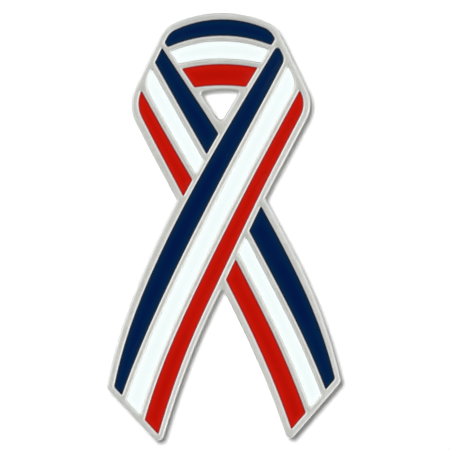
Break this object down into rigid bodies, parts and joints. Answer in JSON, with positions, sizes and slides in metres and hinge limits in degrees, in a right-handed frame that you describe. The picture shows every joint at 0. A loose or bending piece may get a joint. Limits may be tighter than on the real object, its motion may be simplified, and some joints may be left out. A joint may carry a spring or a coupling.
{
  "type": "awareness ribbon pin",
  "caption": "Awareness ribbon lapel pin: a looped, crossed ribbon in raised silver metal, filled with soft enamel stripes, with a post and a round clutch behind.",
  "frame": {"origin": "on the post's axis, at the flat foot of the clutch on which the pin rests", "axes": "+Z out of the enamelled face, +Y towards the ribbon's loop, +X to the right seen from the front"},
  "size_m": [0.0156, 0.0285, 0.0077],
  "materials": {
    "plated_metal": "satin bright nickel plating",
    "clutch_metal": "turned and nickel plated",
    "navy_enamel": "glossy soft enamel",
    "white_enamel": "glossy soft enamel",
    "red_enamel": "glossy soft enamel"
  },
  "bodies": {
    "root": {"ribbon_plate": "plated_metal", "clutch": "clutch_metal", "enamel_loop_navy": "navy_enamel", "enamel_loop_white": "white_enamel", "enamel_loop_red": "red_enamel", "enamel_left_navy": "navy_enamel", "enamel_left_white": "white_enamel", "enamel_left_red": "red_enamel", "enamel_front_navy": "navy_enamel", "enamel_front_white": "white_enamel", "enamel_front_red": "red_enamel", "enamel_tail_navy": "navy_enamel", "enamel_tail_white": "white_enamel", "enamel_tail_red": "red_enamel"}
  },
  "joints": []
}
